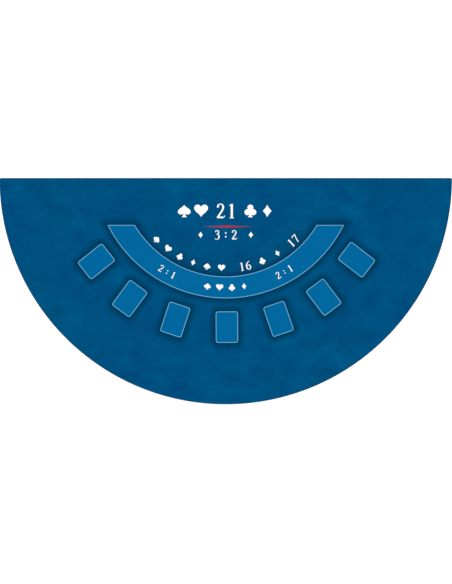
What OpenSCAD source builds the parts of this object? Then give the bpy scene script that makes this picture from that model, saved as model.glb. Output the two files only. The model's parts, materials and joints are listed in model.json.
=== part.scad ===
// Half-round blackjack table: a cloth-covered plywood top on two folding steel leg frames.
// Millimetres. The origin is on the floor under the middle of the top's bounding box.
// +X runs along the dealer's straight edge, +Y points to the dealer, +Z is up.

/* [Table top] */
// Radius of the half-round top, from the middle of the straight edge
top_r = 900; // [880:5:950]
// Height of the playing surface above the floor
table_h = 760; // [740:5:800]
// Thickness of the plywood board
board_t = 18; // [15:1:21]
// Thickness of the foam underlay
foam_t = 3; // [2:0.5:5]
// Thickness of the layout cloth
cloth_t = 1; // [0.8:0.1:1.5]
// Width of the hem turned under the board
hem_w = 38; // [32:1:42]
// Distance from one hem staple to the next
staple_pitch = 50; // [40:5:80]

/* [Printed layout] */
// How far the centre that the betting boxes fan out from lies behind the straight edge
box_ring_y = 70; // [60:5:80]
// Angles of the boxes about that centre, from the middle box outwards
box_angles = [0, 18, 35.2, 52.4]; // [0:0.1:53]
// Distances of the boxes from that centre, from the middle box outwards
box_radii = [663, 664, 669, 653]; // [640:1:680]
// Tilts of the boxes themselves, from the middle box outwards
box_tilts = [0, 18.6, 36.8, 51.9]; // [0:0.1:53]
// Turn of the whole fan towards the dealer's left
box_turn = 0.4; // [0:0.1:1]
// Width and length of a betting box, along the middle of its line
box_size = [86, 122]; // [80:1:125]
// Corner radius of a betting box
box_corner_r = 8; // [4:1:12]
// Width of the white printed lines
line_w = 2.4; // [1.5:0.1:4]
// Outer arc of the insurance band: radius, and its centre behind the straight edge
band_outer = [523, 46];
// Inner arc of the insurance band: radius, and its centre behind the straight edge
band_inner = [423, 30];
// Distance from the straight edge to the line that cuts off the band's ends
band_cut = 188; // [180:1:195]

/* [Rails under the board] */
// Thickness of the wooden rails
rail_t = 25; // [22:1:30]
// Width of the front and rear rails
rail_w = 100; // [90:5:110]
// Width of the two rails that carry the hinges
hinge_rail_w = 70; // [66:1:80]

/* [Leg frames] */
// Distance of each hinge axis from the middle of the table
hinge_x = 520; // [515:1:530]
// Distance between the two legs of a frame
leg_pitch = 470; // [460:1:480]
// How far each frame is shifted so that the two nest when folded
nest_shift = 20; // [18:1:22]
// Middle of the rail frame, towards the dealer
frame_y = 75; // [70:1:80]
// Angle by which the open legs splay outwards
splay = 4; // [3:0.5:5]
// Outer diameter of the leg and hinge tubes
tube_d = 28; // [25:1:30]
// Wall of the tubes
tube_wall = 1.5; // [1.2:0.1:2]
// Outer diameter of the stretcher tubes
stretcher_d = 22; // [18:1:24]
// Distance of the stretcher below the hinge axis, along the legs
stretcher_down = 310; // [300:1:315]

/* [Folding braces] */
// Distance of the brace's bracket pivot from the hinge axis, towards the middle
brace_in = 110; // [105:1:120]
// Distance of the brace's pivot on the leg below the hinge axis
brace_down = 260; // [255:1:265]
// Width of the brace links across their eyes
link_w = 20; // [18:1:22]
// Thickness of the brace links
link_t = 4; // [3:0.5:5]
// Radius of the brace rivets
rivet_r = 4; // [3:0.5:4]

/* [Hidden] */

LEFT = -1;
RIGHT = 1;
FRONT = -1;
REAR = 1;

edge_y = top_r / 2;                          // the straight edge, measured from the origin
board_top = table_h - cloth_t - foam_t;
board_base = board_top - board_t;
rail_base = board_base - rail_t;
ink_t = 0.15;                                // how deep the printed ink is soaked into the cloth

tube_r = tube_d / 2;
hinge_gap = 4;                               // air between the hinge tube and its rail
hinge_z = rail_base - hinge_gap - tube_r;
rail_over = rail_base - hinge_z;             // rail underside above the hinge axis
running = 0.06;                              // radial clearance of a turning fit
plate_gap = 0.2;                             // air between brace links that slide past each other
reach = hinge_z / cos(splay);                // hinge axis to floor, along a leg
foot_h = 46;
foot_wall = 4;
foot_sole = 9;                               // rubber under the end of the tube
stretcher_wall = 1.5;
tube_overhang = 24;                          // hinge tube past each leg's middle line

collar_t = 4;
lower_y = tube_r + collar_t + plate_gap;     // planes of the brace, counted from a leg's middle line
upper_y = lower_y + link_t + plate_gap;
ear_y = upper_y + link_t + plate_gap;
rivet_head_r = 7;
rivet_head_t = 2.8;

// The brace is a triangle of pivots: bracket, leg and knuckle. Links are 0.4% longer together
// than the open span, and just long enough to lie flat beside each other's line when folded.
leg_pivot = [-brace_down * sin(splay), -brace_down * cos(splay)];
bracket_pivot = [brace_in, 0];
open_span = norm(leg_pivot - bracket_pivot);
link_sum = open_span * 1.004;
upper_len = (link_sum - (brace_down - brace_in)) / 2 + 0.5;
lower_len = link_sum - upper_len;
span_angle = atan2(leg_pivot[1] - bracket_pivot[1], leg_pivot[0] - bracket_pivot[0]);
knuckle_angle = acos((upper_len * upper_len + open_span * open_span - lower_len * lower_len)
    / (2 * upper_len * open_span));
upper_dir = span_angle - knuckle_angle;
knuckle = bracket_pivot + upper_len * [cos(upper_dir), sin(upper_dir)];

block_inset = 70;                            // hinge block to leg, middle to middle
block_len = 36;
block_r = 20;
flange_x = 33;
flange_t = 8;
block_screw = [26.5, 9];                     // each screw from the block's middle, across and along
block_screw_r = 2.4;
clip_in = 500;                               // leg clip's distance from the hinge axis
clip_len = 24;
clip_t = 3;
clip_grip = 6;                               // clip walls below the hinge axis
clip_screw_x = 6;
bracket_half = 20;
bracket_t = 3;
bracket_depth = 32;
bracket_screw = [12, 19];                    // each screw from the pivot, across and out from the ear
bracket_screw_r = 2;
screw_play = 0.4;                            // screw hole beyond the screw's radius
rail_screw_r = 2.2;
wood_screw_len = 38;                         // through a rail and 13 mm into the board

// ---------- shared shapes ----------

// Half disc whose straight side is inset by the same distance as its round side
module half_disc(inset) {
    translate([0, edge_y]) intersection() {
        circle(top_r - inset, $fn = 180);
        translate([-top_r, -top_r]) square([2 * top_r, top_r - inset]);
    }
}

// Flat plate lying in the plane of a leg frame's motion, from y to y + t
module plate(y, t) {
    translate([0, y + t, 0]) rotate([90, 0, 0]) linear_extrude(t) children();
}

// Round rod along Y
module rod_y(r, y0, y1) {
    translate([0, y0, 0]) rotate([-90, 0, 0]) cylinder(r = r, h = y1 - y0, $fn = 48);
}

// Puts a part drawn for one frame (x inwards, origin on the hinge axis) on the left or right side
module on_side(side) {
    translate([side * hinge_x, frame_y - side * nest_shift, hinge_z])
        mirror([side == RIGHT ? 1 : 0, 0, 0]) children();
}

// Tilts a part drawn on a vertical leg to the leg's open position
module splayed() {
    rotate([0, splay, 0]) children();
}

// Puts a part drawn at a front leg's middle line, inboard towards +Y, on the front or rear leg
module on_leg(which) {
    translate([0, which * leg_pitch / 2, 0]) mirror([0, which == REAR ? 1 : 0, 0]) children();
}

// Screw pointing up, with its head's bearing face at z = 0
module pan_screw(r, length) {
    cylinder(r = r, h = length, $fn = 24);
    translate([0, 0, -2.4]) cylinder(r1 = 1.4 * r, r2 = 2.1 * r, h = 0.8, $fn = 24);
    translate([0, 0, -1.6]) cylinder(r = 2.1 * r, h = 1.6, $fn = 24);
}

// Countersunk screw pointing up, with its head flush at z = 0
module flush_screw(r, length) {
    cylinder(r1 = 2 * r, r2 = r, h = r, $fn = 24);
    cylinder(r = r, h = length, $fn = 24);
}

// ---------- printed layout, drawn flat ----------

module rounded_box(w, l, r) {
    square([w - 2 * r, l], center = true);
    square([w, l - 2 * r], center = true);
    for (x = [-1, 1], y = [-1, 1]) translate([x * (w / 2 - r), y * (l / 2 - r)]) circle(r, $fn = 32);
}

// Puts a shape drawn at the origin at each betting box, mirror pairs about the middle one
module at_boxes() {
    last = len(box_angles) - 1;
    translate([0, edge_y + box_ring_y]) rotate(box_turn) for (i = [-last : last]) {
        k = abs(i);
        rotate(sign(i) * box_angles[k]) translate([0, -box_radii[k]])
            rotate(sign(i) * (box_tilts[k] - box_angles[k])) children();
    }
}

// Insurance band, grown outwards by a distance on every side
module band(grow) {
    difference() {
        translate([0, edge_y + band_outer[1]]) circle(band_outer[0] + grow, $fn = 180);
        translate([0, edge_y + band_inner[1]]) circle(band_inner[0] - grow, $fn = 180);
        translate([-top_r, edge_y - band_cut + grow]) square([2 * top_r, top_r]);
    }
}

// Part of a ring: middle radius r, width w, between two angles
module arc_stroke(r, w, from, to) {
    wedge = [for (i = [0 : 4]) 3 * r * [cos(from + (to - from) * i / 4), sin(from + (to - from) * i / 4)]];
    intersection() {
        difference() {
            circle(r + w / 2, $fn = 48);
            circle(r - w / 2, $fn = 48);
        }
        polygon(concat([[0, 0]], wedge));
    }
}

// Numerals of height h, centred on the origin
module numeral(n, h) {
    w = 0.14 * h;
    if (n == 1) {
        translate([-w / 2, -h / 2]) square([w, h]);
        polygon([[-w / 2, h / 2], [-0.2 * h, 0.33 * h], [-w / 2, 0.33 * h]]);
    }
    if (n == 2) {
        translate([0, 0.24 * h]) arc_stroke(0.19 * h, w, -35, 175);
        foot_y = w - h / 2;
        polygon([[-0.26 * h, foot_y], [-0.07 * h, foot_y], [0.21 * h, 0.08 * h], [0.1 * h, 0.17 * h]]);
        translate([-0.26 * h, -h / 2]) square([0.52 * h, w]);
    }
    if (n == 3) {
        translate([0, 0.23 * h]) arc_stroke(0.2 * h, w, -90, 165);
        translate([0, -0.2 * h]) arc_stroke(0.23 * h, w, -165, 90);
    }
    if (n == 6) {
        translate([0, -0.2 * h]) arc_stroke(0.23 * h, w, 0, 180);
        translate([0, -0.2 * h]) arc_stroke(0.23 * h, w, 180, 360);
        translate([0.27 * h, -0.1 * h]) arc_stroke(0.53 * h, w, 95, 190);
    }
    if (n == 7) {
        translate([-0.26 * h, h / 2 - w]) square([0.52 * h, w]);
        polygon([[0.26 * h, h / 2 - w], [0.1 * h, h / 2 - w], [-0.16 * h, -h / 2], [0, -h / 2]]);
    }
}

module ratio_colon(h) {
    for (y = [-0.2, 0.2]) translate([0, y * h]) circle(0.09 * h, $fn = 24);
}

// Card pips of height h, centred on the origin
module heart(h) {
    for (x = [-1, 1]) translate([x * 0.23 * h, 0.24 * h]) circle(0.26 * h, $fn = 32);
    polygon([[-0.455 * h, 0.12 * h], [0, 0.36 * h], [0.455 * h, 0.12 * h], [0, -0.5 * h]]);
}

module stem(h) {
    polygon([[0, 0], [0.2 * h, -0.5 * h], [-0.2 * h, -0.5 * h]]);
}

module pip(kind, h) {
    if (kind == "heart") heart(h);
    if (kind == "diamond") polygon([[0, 0.5 * h], [0.36 * h, 0], [0, -0.5 * h], [-0.36 * h, 0]]);
    if (kind == "spade") {
        rotate(180) heart(h);
        stem(h);
    }
    if (kind == "club") {
        for (p = [[0, 0.26], [-0.24, -0.08], [0.24, -0.08]]) translate(h * p) circle(0.26 * h, $fn = 32);
        stem(h);
    }
}

// Places its children on the arc of the printed rule, turned to face the dealer's side
module on_arc(r, angle) {
    translate([0, edge_y + band_inner[1]]) rotate(angle) translate([0, -r]) children();
}

suits = ["spade", "heart", "club", "diamond"];
heading_y = edge_y - 131;                    // first line: "21" between four pips
heading_h = 58;
heading_pip_h = 50;
heading_pip_xs = [-165, -98, 98, 165];
heading_figure_xs = [-20, 24];
lens_at = [6, edge_y - 193];                 // red line between the two lines
lens_half = 100;
lens_t = 9;
second_y = edge_y - 226;                     // second line: "3 : 2" between two pips
second_h = 37;
second_figure_x = 34;
second_pip_x = 100;
rule_r = 388;                                // curved line inside the insurance band
rule_h = 34;
rule_pip_angles = [-45, -36.5, -28, -19.5, -11, -2.5, 22, 32];
rule_figures = [[1, 6, 11.5], [1, 7, 44]];   // two figures and the angle midway between them
rule_figure_step = 1.9;
note_r = 466;                                // line inside the band: "2 : 1" each side of four pips
note_h = 28;
note_angle = 30;
note_figure_step = 3.4;
note_pip_step = 6;
small_pip_h = 26;

module heading_shapes() {
    for (i = [0 : 3]) translate([heading_pip_xs[i], heading_y]) pip(suits[i], heading_pip_h);
    translate([heading_figure_xs[0], heading_y]) numeral(2, heading_h);
    translate([heading_figure_xs[1], heading_y]) numeral(1, heading_h);
    for (x = [-1, 1]) translate([x * second_pip_x, second_y]) pip("diamond", small_pip_h);
    translate([-second_figure_x, second_y]) numeral(3, second_h);
    translate([0, second_y]) ratio_colon(second_h);
    translate([second_figure_x, second_y]) numeral(2, second_h);
}

module rule_shapes() {
    for (i = [0 : len(rule_pip_angles) - 1])
        on_arc(rule_r, rule_pip_angles[i]) pip(suits[i % 4], small_pip_h);
    for (f = rule_figures, i = [0, 1])
        on_arc(rule_r, f[2] + (2 * i - 1) * rule_figure_step) numeral(f[i], rule_h);
}

module note_shapes() {
    for (angle = [-note_angle, note_angle]) {
        on_arc(note_r, angle - note_figure_step) numeral(2, note_h);
        on_arc(note_r, angle) ratio_colon(note_h);
        on_arc(note_r, angle + note_figure_step) numeral(1, note_h);
    }
    for (i = [0 : 3]) on_arc(note_r, (i - 1.5) * note_pip_step) pip(suits[i], small_pip_h);
}

// Ink soaked into the cloth, flush with the playing surface
module ink() {
    translate([0, 0, table_h - ink_t]) linear_extrude(ink_t) children();
}

// ---------- top ----------

module top_board() {
    color("burlywood") translate([0, 0, board_base]) linear_extrude(board_t) half_disc(cloth_t);
}

module foam_underlay() {
    color("gray") translate([0, 0, board_top]) linear_extrude(foam_t) half_disc(3 * cloth_t);
}

// Stretched over foam and board, down the edge and turned under as a hem
module layout_cloth() {
    color("#035180") difference() {
        translate([0, 0, board_base - cloth_t]) linear_extrude(table_h - board_base + cloth_t) half_disc(0);
        translate([0, 0, board_base]) linear_extrude(table_h - cloth_t - board_base) half_disc(cloth_t);
        translate([0, 0, board_base - 2 * cloth_t]) linear_extrude(3 * cloth_t) half_disc(hem_w);
    }
}

module light_print() {
    color("#04689f") ink() difference() {
        union() {
            at_boxes() rounded_box(box_size[0] - line_w, box_size[1] - line_w, box_corner_r - line_w / 2);
            band(-line_w / 2);
        }
        note_shapes();
    }
}

module white_print() {
    color("white") ink() {
        at_boxes() difference() {
            rounded_box(box_size[0] + line_w, box_size[1] + line_w, box_corner_r + line_w / 2);
            rounded_box(box_size[0] - line_w, box_size[1] - line_w, box_corner_r - line_w / 2);
        }
        difference() {
            band(line_w / 2);
            band(-line_w / 2);
        }
        heading_shapes();
        rule_shapes();
        note_shapes();
    }
}

// Line between the two lines of the heading, thick in the middle and drawn out to a point
module red_print() {
    taper = 1.2;
    steps = 12;
    upper = [for (i = [-steps : steps]) [i / steps, pow(1 - abs(i / steps), taper)]];
    lower = [for (i = [steps - 1 : -1 : 1 - steps]) [i / steps, -pow(1 - abs(i / steps), taper)]];
    color("#be2832") ink() translate(lens_at)
        polygon([for (p = concat(upper, lower)) [lens_half * p[0], lens_t / 2 * p[1]]]);
}

// Wire staple pointing up, its crown along X under z = 0
module staple() {
    crown = 10;
    wire = 1;
    flat = 0.6;
    leg = 8;
    translate([-crown / 2, -flat, -flat]) cube([crown, 2 * flat, flat]);
    for (x = [-crown / 2, crown / 2 - wire]) translate([x, -wire / 2, -flat / 2]) cube([wire, wire, leg]);
}

module hem_staples() {
    from_hem_edge = 10;
    half_sweep = 86;
    line_r = top_r - hem_w + from_hem_edge;
    arc_n = floor(2 * half_sweep * PI / 180 * line_r / staple_pitch);
    row_n = floor(2 * (line_r - 30) / staple_pitch);
    color("silver") {
        for (i = [0 : arc_n]) translate([0, edge_y, board_base - cloth_t])
            rotate(-half_sweep + 2 * half_sweep * i / arc_n) translate([0, -line_r, 0]) staple();
        for (i = [0 : row_n])
            translate([(i - row_n / 2) * staple_pitch, edge_y - hem_w + from_hem_edge, board_base - cloth_t])
                staple();
    }
}

// ---------- rails ----------

// Rail lying along X, centred in X and Y, with its lower long edges chamfered
module rail(length, width) {
    chamfer = 4;
    rotate([90, 0, 90]) translate([0, 0, -length / 2]) linear_extrude(length) polygon([
        [-width / 2, chamfer], [-width / 2 + chamfer, 0], [width / 2 - chamfer, 0], [width / 2, chamfer],
        [width / 2, rail_t], [-width / 2, rail_t]
    ]);
}

rail_row = (leg_pitch - 60) / 2;             // front and rear rails, from the middle of the frame
rail_half = hinge_x - hinge_rail_w / 2;
rail_screw_xs = [-460, -300, -150, 150, 300, 460];
rail_screw_zigzag = [22, -10];               // off the rail's middle, by turns
hinge_rail_screw_ys = [-70, 0, 70];

module long_rail(which) {
    color("tan") translate([0, frame_y + which * rail_row, rail_base]) rail(2 * rail_half, rail_w);
}

module hinge_rail(side) {
    color("tan") translate([side * hinge_x, frame_y, rail_base])
        rotate(90) rail(2 * rail_row + rail_w, hinge_rail_w);
}

module rail_screws() {
    color("silver") {
        for (which = [FRONT, REAR], i = [0 : 5])
            translate([rail_screw_xs[i], frame_y + which * (rail_row + rail_screw_zigzag[i % 2]), rail_base])
                flush_screw(rail_screw_r, wood_screw_len);
        for (side = [LEFT, RIGHT], y = hinge_rail_screw_ys)
            translate([side * hinge_x, frame_y + y, rail_base]) flush_screw(rail_screw_r, wood_screw_len);
    }
}

// ---------- hinges, brackets and clips ----------

module at_blocks() {
    for (side = [LEFT, RIGHT]) on_side(side)
        for (y = [-1, 1]) translate([0, y * (leg_pitch / 2 - block_inset), 0]) children();
}

module at_block_screws() {
    for (x = [-1, 1], y = [-1, 1])
        translate([x * block_screw[0], y * block_screw[1], rail_over - flange_t]) children();
}

// Moulded pillow block: a bored boss under a screwed flange
module hinge_blocks() {
    color("#202224") at_blocks() difference() {
        plate(-block_len / 2, block_len) {
            difference() {
                circle(block_r, $fn = 64);
                translate([-2 * block_r, 0]) square(4 * block_r);
            }
            translate([-block_r, 0]) square([2 * block_r, rail_over]);
            translate([-flange_x, rail_over - flange_t]) square([2 * flange_x, flange_t]);
        }
        rod_y(tube_r + running, -block_len, block_len);
        at_block_screws() translate([0, 0, -1])
            cylinder(r = block_screw_r + screw_play, h = flange_t + 2, $fn = 24);
    }
}

module hinge_block_screws() {
    color("silver") at_blocks() at_block_screws() pan_screw(block_screw_r, wood_screw_len);
}

module at_brackets() {
    for (side = [LEFT, RIGHT], which = [FRONT, REAR]) on_side(side) on_leg(which) children();
}

module at_bracket_screws() {
    for (x = [-1, 1]) translate([brace_in + x * bracket_screw[0], ear_y + bracket_screw[1]])
        translate([0, 0, rail_over - bracket_t]) children();
}

// Pressed angle: an ear for the upper link under a screwed foot
module brace_brackets() {
    color("silver") at_brackets() difference() {
        union() {
            plate(ear_y, link_t) {
                translate(bracket_pivot) circle(link_w / 2, $fn = 48);
                translate([brace_in - link_w / 2, 0]) square([link_w, rail_over]);
            }
            translate([brace_in - bracket_half, ear_y, rail_over - bracket_t])
                cube([2 * bracket_half, bracket_depth, bracket_t]);
        }
        translate([brace_in, 0, 0]) rod_y(rivet_r, ear_y - 1, ear_y + link_t + 1);
        at_bracket_screws() translate([0, 0, -1])
            cylinder(r = bracket_screw_r + screw_play, h = bracket_t + 2, $fn = 24);
    }
}

module bracket_screws() {
    color("silver") at_brackets() at_bracket_screws() pan_screw(bracket_screw_r, 26);
}

module bracket_rivets() {
    color("silver") at_brackets() translate([brace_in, 0, 0]) {
        rod_y(rivet_r, upper_y, ear_y + link_t);
        rod_y(rivet_head_r, ear_y + link_t, ear_y + link_t + rivet_head_t);
    }
}

// One clip holds each folded frame: the left frame's front leg and the right frame's rear leg
module at_clips() {
    on_side(LEFT) on_leg(FRONT) translate([clip_in, 0, 0]) children();
    on_side(RIGHT) on_leg(REAR) translate([clip_in, 0, 0]) children();
}

// Moulded channel, open downwards, that grips the folded leg between its two walls
module leg_clips() {
    slot = tube_r + 0.3;
    color("#202224") at_clips() difference() {
        translate([-clip_len / 2, -slot - clip_t, -clip_grip])
            cube([clip_len, 2 * (slot + clip_t), rail_over + clip_grip]);
        translate([-clip_len, -slot, -clip_grip - 1])
            cube([2 * clip_len, 2 * slot, rail_over - clip_t + clip_grip + 1]);
        for (x = [-1, 1]) translate([x * clip_screw_x, 0, rail_over - clip_t]) flush_screw(2, 10);
    }
}

module clip_screws() {
    color("silver") at_clips()
        for (x = [-1, 1]) translate([x * clip_screw_x, 0, rail_over - clip_t]) flush_screw(2, 24);
}

// ---------- leg frames ----------

module hinge_tube(side) {
    half = leg_pitch / 2 + tube_overhang;
    color("#1b1c1e") on_side(side) difference() {
        rod_y(tube_r, -half, half);
        rod_y(tube_r - tube_wall, -half - 1, half + 1);
    }
}

module leg(side, which) {
    color("#1b1c1e") on_side(side) splayed() on_leg(which) difference() {
        translate([0, 0, -reach + foot_sole]) cylinder(r = tube_r, h = reach - foot_sole, $fn = 48);
        translate([0, 0, -reach]) cylinder(r = tube_r - tube_wall, h = reach, $fn = 48);
        rod_y(tube_r, -2 * tube_r, 2 * tube_r);
        translate([0, 0, -brace_down]) rod_y(rivet_r, -2 * tube_r, 2 * tube_r);
    }
}

module stretcher(side) {
    color("#1b1c1e") on_side(side) splayed() translate([0, 0, -stretcher_down]) difference() {
        rod_y(stretcher_d / 2, -leg_pitch / 2, leg_pitch / 2);
        rod_y(stretcher_d / 2 - stretcher_wall, -leg_pitch, leg_pitch);
        for (which = [FRONT, REAR]) translate([0, which * leg_pitch / 2, -tube_d])
            cylinder(r = tube_r, h = 2 * tube_d, $fn = 48);
    }
}

// Push-in plugs that close the ends of the hinge tube
module tube_caps(side) {
    end = leg_pitch / 2 + tube_overhang;
    cap_t = 3;
    plug = 12;
    color("#202224") on_side(side) for (y = [0, 1]) mirror([0, y, 0]) {
        rod_y(tube_r, end, end + cap_t);
        rod_y(tube_r - tube_wall, end - plug, end);
    }
}

// Rubber ferrule over the end of a leg, cut level with the floor
module foot(side, which) {
    below = 3;                               // drawn below the floor, then cut level
    lip = 1.5;
    color("#141414") on_side(side) difference() {
        splayed() on_leg(which) difference() {
            union() {
                translate([0, 0, -reach - below]) cylinder(r = tube_r + foot_wall, h = foot_h, $fn = 48);
                translate([0, 0, -reach - below + foot_h])
                    cylinder(r1 = tube_r + foot_wall, r2 = tube_r + lip, h = foot_wall, $fn = 48);
            }
            translate([0, 0, -reach + foot_sole]) cylinder(r = tube_r, h = foot_h, $fn = 48);
        }
        translate([-4 * tube_d, -leg_pitch, -hinge_z - tube_d]) cube([8 * tube_d, 2 * leg_pitch, tube_d]);
    }
}

// Shouldered rivets through the legs, on which the lower links turn
module leg_rivets(side) {
    head_y = lower_y + link_t + plate_gap;
    collar_r = 8;
    color("silver") on_side(side) splayed() for (which = [FRONT, REAR]) on_leg(which) {
        translate([0, 0, -brace_down]) {
            rod_y(rivet_r, -tube_r - 1, head_y);
            rod_y(rivet_head_r, head_y, head_y + rivet_head_t);
        }
        difference() {
            translate([0, 0, -brace_down]) {
                rod_y(collar_r, 0, tube_r + collar_t);
                rod_y(rivet_head_r, -tube_r - 2, 0);
            }
            translate([0, 0, -brace_down - tube_d]) cylinder(r = tube_r, h = 2 * tube_d, $fn = 48);
        }
    }
}

// ---------- braces ----------

// Flat bar from pivot p to pivot q with wider round eyes, and a hole in each
module link(p, q, hole_p, hole_q) {
    bar_w = 0.8 * link_w;
    difference() {
        union() {
            translate(p) circle(link_w / 2, $fn = 48);
            translate(q) circle(link_w / 2, $fn = 48);
            translate(p) rotate(atan2(q[1] - p[1], q[0] - p[0])) translate([0, -bar_w / 2])
                square([norm(q - p), bar_w]);
        }
        translate(p) circle(hole_p, $fn = 48);
        translate(q) circle(hole_q, $fn = 48);
    }
}

module upper_link(side, which) {
    color("silver") on_side(side) on_leg(which) plate(upper_y, link_t)
        link(bracket_pivot, knuckle, rivet_r + running, rivet_r);
}

module lower_link(side, which) {
    color("silver") on_side(side) on_leg(which) plate(lower_y, link_t)
        link(leg_pivot, knuckle, rivet_r + running, rivet_r);
}

// Round bar that joins a frame's two knuckles: lifting it breaks both braces at once
module release_bar(side) {
    half = leg_pitch / 2 - upper_y;
    bar_r = 5;
    color("silver") on_side(side) translate([knuckle[0], 0, knuckle[1]]) {
        rod_y(bar_r, -half + link_t, half - link_t);
        rod_y(rivet_r, -half, half);
    }
}

module knuckle_rivets(side) {
    color("silver") on_side(side) for (which = [FRONT, REAR]) on_leg(which)
        translate([knuckle[0], 0, knuckle[1]]) {
            rod_y(rivet_r, lower_y, lower_y + link_t);
            rod_y(rivet_head_r, lower_y - rivet_head_t, lower_y);
        }
}

top_board();
foam_underlay();
layout_cloth();
light_print();
white_print();
red_print();
hem_staples();
long_rail(FRONT);  // front_rail
long_rail(REAR);  // rear_rail
hinge_rail(LEFT);  // left_hinge_rail
hinge_rail(RIGHT);  // right_hinge_rail
rail_screws();
hinge_blocks();
hinge_block_screws();
brace_brackets();
bracket_screws();
bracket_rivets();
leg_clips();
clip_screws();
hinge_tube(LEFT);  // left_hinge_tube
leg(LEFT, FRONT);  // left_front_leg
leg(LEFT, REAR);  // left_rear_leg
stretcher(LEFT);  // left_stretcher
tube_caps(LEFT);  // left_tube_caps
foot(LEFT, FRONT);  // left_front_foot
foot(LEFT, REAR);  // left_rear_foot
leg_rivets(LEFT);  // left_leg_rivets
upper_link(LEFT, FRONT);  // left_front_upper_link
upper_link(LEFT, REAR);  // left_rear_upper_link
release_bar(LEFT);  // left_release_bar
lower_link(LEFT, FRONT);  // left_front_lower_link
lower_link(LEFT, REAR);  // left_rear_lower_link
knuckle_rivets(LEFT);  // left_knuckle_rivets
hinge_tube(RIGHT);  // right_hinge_tube
leg(RIGHT, FRONT);  // right_front_leg
leg(RIGHT, REAR);  // right_rear_leg
stretcher(RIGHT);  // right_stretcher
tube_caps(RIGHT);  // right_tube_caps
foot(RIGHT, FRONT);  // right_front_foot
foot(RIGHT, REAR);  // right_rear_foot
leg_rivets(RIGHT);  // right_leg_rivets
upper_link(RIGHT, FRONT);  // right_front_upper_link
upper_link(RIGHT, REAR);  // right_rear_upper_link
release_bar(RIGHT);  // right_release_bar
lower_link(RIGHT, FRONT);  // right_front_lower_link
lower_link(RIGHT, REAR);  // right_rear_lower_link
knuckle_rivets(RIGHT);  // right_knuckle_rivets
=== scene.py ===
import json
from math import atan2, cos, pi, radians, sin, sqrt

import bpy
import numpy as np
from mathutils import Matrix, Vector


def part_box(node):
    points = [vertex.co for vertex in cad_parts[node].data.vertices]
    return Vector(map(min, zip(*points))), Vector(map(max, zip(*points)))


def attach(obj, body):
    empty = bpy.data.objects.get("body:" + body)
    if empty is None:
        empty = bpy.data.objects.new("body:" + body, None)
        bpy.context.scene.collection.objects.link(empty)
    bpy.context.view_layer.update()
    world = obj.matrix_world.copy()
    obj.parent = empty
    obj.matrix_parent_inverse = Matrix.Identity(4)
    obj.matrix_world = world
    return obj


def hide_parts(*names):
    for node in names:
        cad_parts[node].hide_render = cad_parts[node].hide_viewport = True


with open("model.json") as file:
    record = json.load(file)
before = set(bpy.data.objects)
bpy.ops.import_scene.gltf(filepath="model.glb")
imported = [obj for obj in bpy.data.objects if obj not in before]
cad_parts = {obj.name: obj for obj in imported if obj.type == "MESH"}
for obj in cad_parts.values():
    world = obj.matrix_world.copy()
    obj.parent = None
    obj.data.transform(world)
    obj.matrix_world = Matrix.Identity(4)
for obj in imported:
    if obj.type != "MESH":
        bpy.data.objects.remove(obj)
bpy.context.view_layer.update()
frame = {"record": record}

# ----------------------------------------------------------------------------
# Camera. It hangs far above the table on a long lens and looks straight down, with the dealer's
# edge at the top of the picture.
# ----------------------------------------------------------------------------

top_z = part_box("layout_cloth")[1][2]
lens = 400.0            # mm
sensor = 36.0           # mm, along the picture's long side
view_height = 2.322     # metres of table top along the picture's long side
aim_x, aim_y = 0.001, -0.0033

camera_data = bpy.data.cameras.new("camera")
camera_data.lens = lens
camera_data.sensor_width = sensor
camera_data.clip_end = 100.0
camera = bpy.data.objects.new("camera", camera_data)
camera.location = (aim_x, aim_y, top_z + view_height * lens / sensor)
bpy.context.scene.collection.objects.link(camera)
bpy.context.scene.camera = camera

# ----------------------------------------------------------------------------
# Studio. A matt white floor, an even sky for fill and one lamp straight overhead, so that the
# table's shadow lies beneath it.
# ----------------------------------------------------------------------------


def linear(code):
    """An sRGB hex colour as linear red, green, blue and alpha 1."""
    parts = [int(code[i : i + 2], 16) / 255 for i in (0, 2, 4)]
    return [c / 12.92 if c <= 0.04045 else ((c + 0.055) / 1.055) ** 2.4 for c in parts] + [1.0]


def add(tree, kind, settings=None, links=None):
    """Adds a node, sets its properties and sockets, and links its inputs to other outputs."""
    node = tree.nodes.new(kind)
    for key, value in (settings or {}).items():
        if isinstance(key, str) and hasattr(node, key):
            setattr(node, key, value)
        else:
            node.inputs[key].default_value = value
    for key, source in (links or {}).items():
        tree.links.new(source, node.inputs[key])
    return node


def new_material(name):
    """A material with an empty tree, and the output that gives a point's place on the object."""
    material = bpy.data.materials.new(name)
    material.use_nodes = True
    tree = material.node_tree
    tree.nodes.clear()
    return material, tree, add(tree, "ShaderNodeTexCoord").outputs["Object"]


def rolled_floor_paint():
    """Matt white floor paint put on with a roller: even, with a mottle a foot or so across."""
    material, tree, place = new_material("rolled_floor_paint")
    mottle = add(tree, "ShaderNodeTexNoise", {"Scale": 3.0, "Detail": 3.0}, {"Vector": place})
    tone = add(
        tree, "ShaderNodeMix", {"data_type": "RGBA", 6: linear("F2F2F1"), 7: linear("F8F8F8")},
        {0: mottle.outputs[0]},
    )
    shader = add(
        tree, "ShaderNodeBsdfPrincipled", {"Roughness": 0.9, "Specular IOR Level": 0.1},
        {"Base Color": tone.outputs[2]},
    )
    add(tree, "ShaderNodeOutputMaterial", None, {"Surface": shader.outputs[0]})
    return material


floor_half = 30.0
floor_mesh = bpy.data.meshes.new("floor")
floor_corners = [
    (-floor_half, -floor_half, 0),
    (floor_half, -floor_half, 0),
    (floor_half, floor_half, 0),
    (-floor_half, floor_half, 0),
]
floor_mesh.from_pydata(floor_corners, [], [(0, 1, 2, 3)])
floor_mesh.materials.append(rolled_floor_paint())
floor = bpy.data.objects.new("floor", floor_mesh)
bpy.context.scene.collection.objects.link(floor)

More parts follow.
